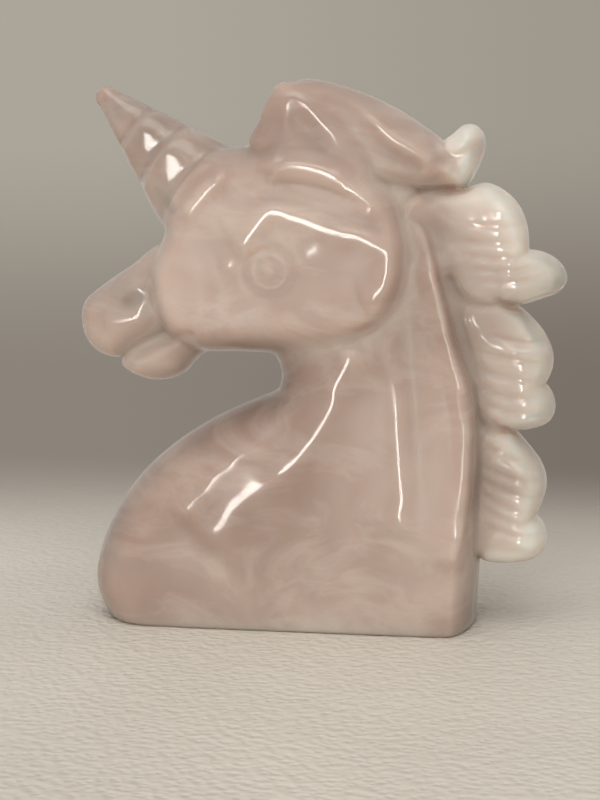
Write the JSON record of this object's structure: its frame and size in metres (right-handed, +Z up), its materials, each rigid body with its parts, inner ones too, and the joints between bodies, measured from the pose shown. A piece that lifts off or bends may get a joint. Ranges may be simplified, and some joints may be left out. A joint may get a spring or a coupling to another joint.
{
  "type": "unicorn figurine",
  "caption": "Carved stone bust of a unicorn with a ringed horn, pricked ears and a wavy mane, standing on its flat sawn base.",
  "frame": {"origin": "on the flat resting face, in the middle plane, near the middle of the base", "axes": "+Z up from the resting face to the crest; the unicorn looks along -X; its left side faces -Y"},
  "size_m": [0.072, 0.025, 0.0797],
  "materials": {
    "stone": "polished pale pink rose quartz, milky and translucent, with matt ground grooves"
  },
  "bodies": {
    "root": {"bust": "stone", "head": "stone", "muzzle": "stone", "lower_jaw": "stone", "horn": "stone", "left_ear": "stone", "right_ear": "stone", "left_eye": "stone", "right_eye": "stone", "left_side_lock": "stone", "right_side_lock": "stone", "left_neck_lock": "stone", "right_neck_lock": "stone", "left_chest_ridge": "stone", "right_chest_ridge": "stone", "crest_lock": "stone", "crest_curl": "stone", "upper_mane_lock": "stone", "upper_mane_tip": "stone", "middle_mane_lock": "stone", "middle_mane_tip": "stone", "lower_mane_lock": "stone", "lower_mane_tip": "stone"}
  },
  "joints": []
}
